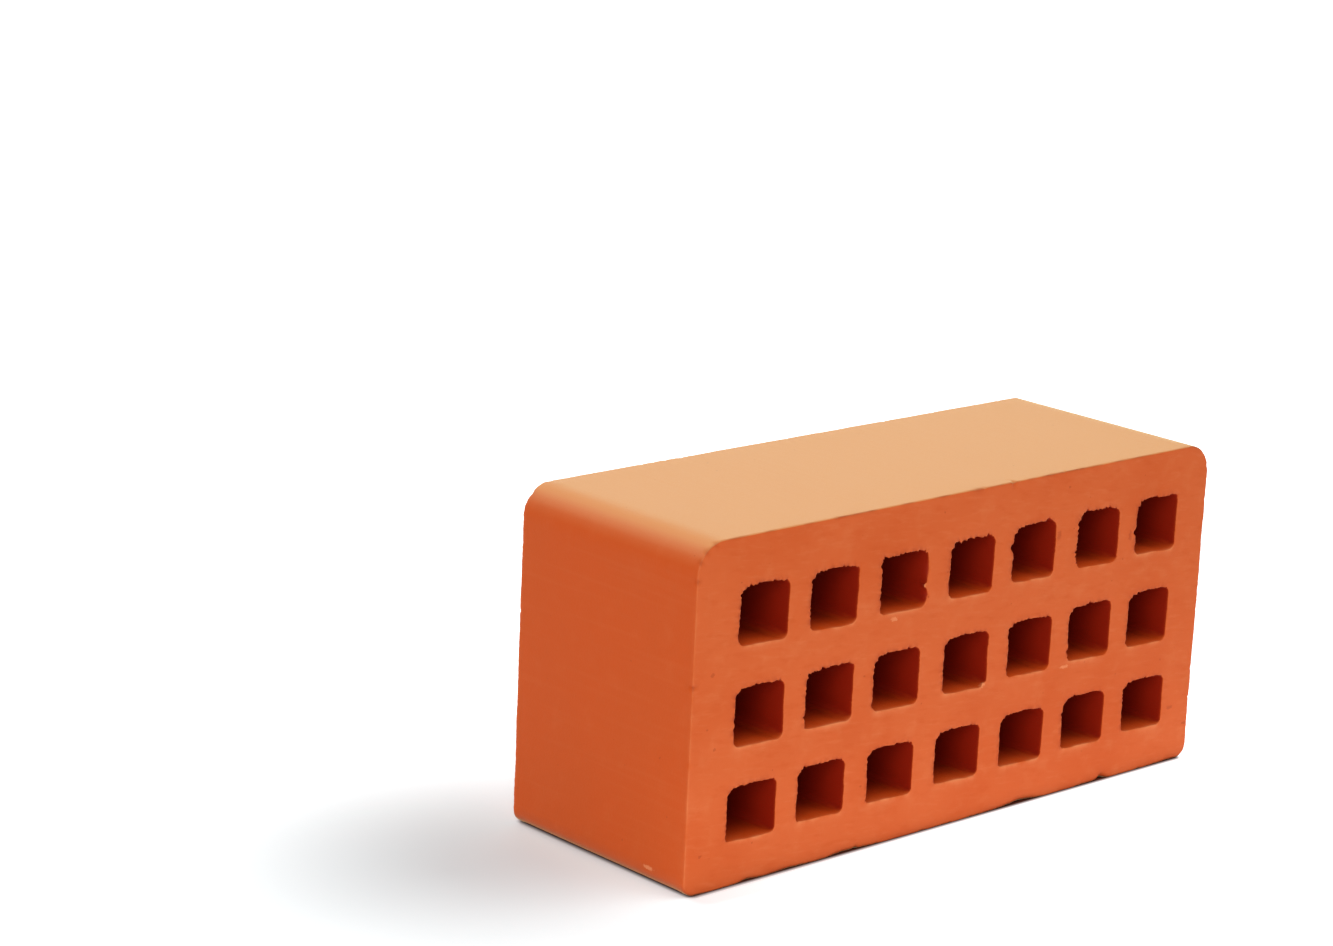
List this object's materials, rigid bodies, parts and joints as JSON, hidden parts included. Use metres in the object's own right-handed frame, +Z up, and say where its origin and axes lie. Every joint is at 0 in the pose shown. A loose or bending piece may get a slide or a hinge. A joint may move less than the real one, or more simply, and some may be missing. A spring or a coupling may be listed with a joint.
{
  "type": "perforated clay brick",
  "caption": "Fired clay facing brick with rounded show edges, wire-cut beds and a grid of square through cores, for laying in mortar courses.",
  "frame": {"origin": "middle of the back stretcher face, on which the brick lies", "axes": "+X along the length, +Y along the cores from the front bed to the rear bed, +Z up through the show face"},
  "size_m": [0.25, 0.088, 0.12],
  "materials": {
    "fired_clay": "matt unglazed fired clay, orange red"
  },
  "bodies": {
    "root": {"clay_brick": "fired_clay"}
  },
  "joints": []
}
